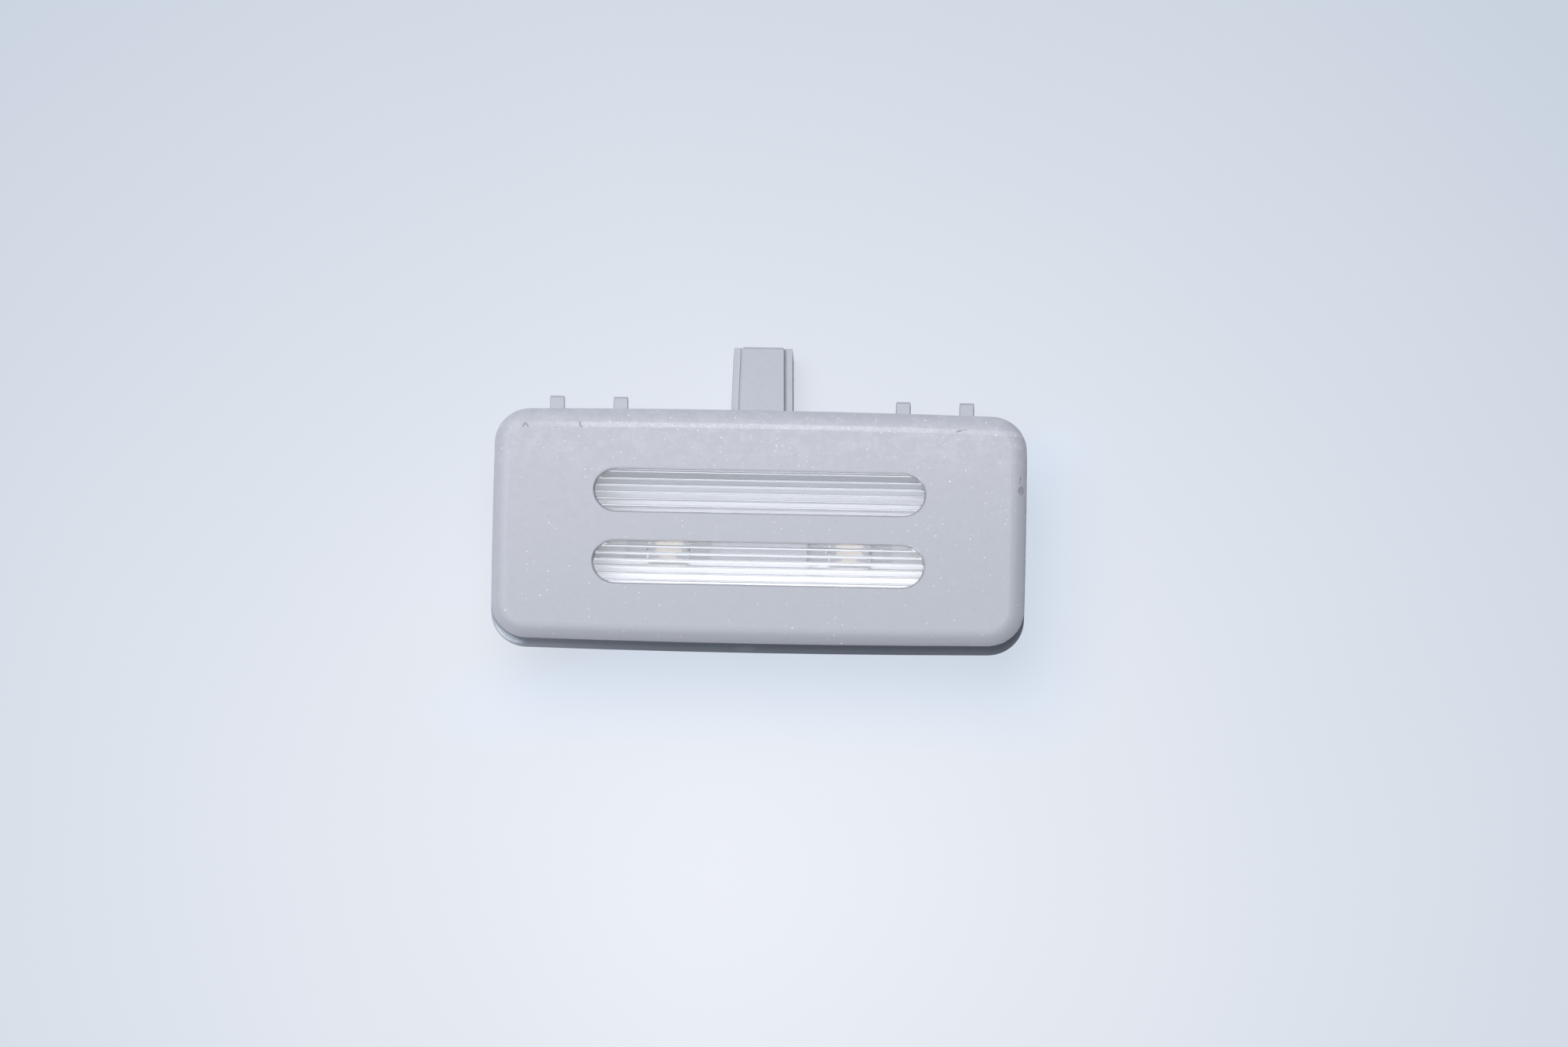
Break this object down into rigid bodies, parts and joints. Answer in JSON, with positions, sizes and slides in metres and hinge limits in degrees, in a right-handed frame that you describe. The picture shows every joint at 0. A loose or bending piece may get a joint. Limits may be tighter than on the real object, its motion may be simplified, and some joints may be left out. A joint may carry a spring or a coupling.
{
  "type": "car interior light",
  "caption": "Snap-in interior lamp: rounded bezel with two long clear windows over a fluted lens and light sources, hook fingers, spring clips and a socket behind.",
  "frame": {"origin": "centre of the panel cut-out, in the plane where the bezel's rim seats on the panel", "axes": "+X along the lamp, +Y toward the electrical connector, +Z out of the lit face"},
  "size_m": [0.076, 0.047, 0.0178],
  "materials": {
    "bezel_plastic": "fine spark-eroded grain, pale blue-grey, lightly worn",
    "clear_lens": "clear moulded plastic, polished",
    "reflector_white": "satin white",
    "housing_plastic": "fine matt, pale blue-grey",
    "board_white": "white solder mask",
    "led_package": "moulded white package",
    "phosphor": "cast silicone, warm yellow",
    "chip_resistor": "black glaze with tinned ends",
    "moulded_black": "black moulding compound with tinned leads",
    "suppressor_grey": "dark ceramic with tinned ends",
    "chip_capacitor": "tan ceramic with tinned ends",
    "tinned_brass": "tin plated",
    "spring_steel": "rolled spring steel"
  },
  "bodies": {
    "root": {"bezel": "bezel_plastic", "lens": "clear_lens", "reflector": "reflector_white", "rear_housing": "housing_plastic", "circuit_board": "board_white", "led_left": "led_package", "led_right": "led_package", "led_left_phosphor": "phosphor", "led_right_phosphor": "phosphor", "resistor_1": "chip_resistor", "resistor_2": "chip_resistor", "resistor_3": "chip_resistor", "resistor_4": "chip_resistor", "polarity_diode": "moulded_black", "surge_suppressor": "suppressor_grey", "filter_capacitor_1": "chip_capacitor", "filter_capacitor_2": "chip_capacitor", "terminal_pin_left": "tinned_brass", "terminal_pin_right": "tinned_brass", "spring_clip_left": "spring_steel", "spring_clip_right": "spring_steel"}
  },
  "joints": []
}
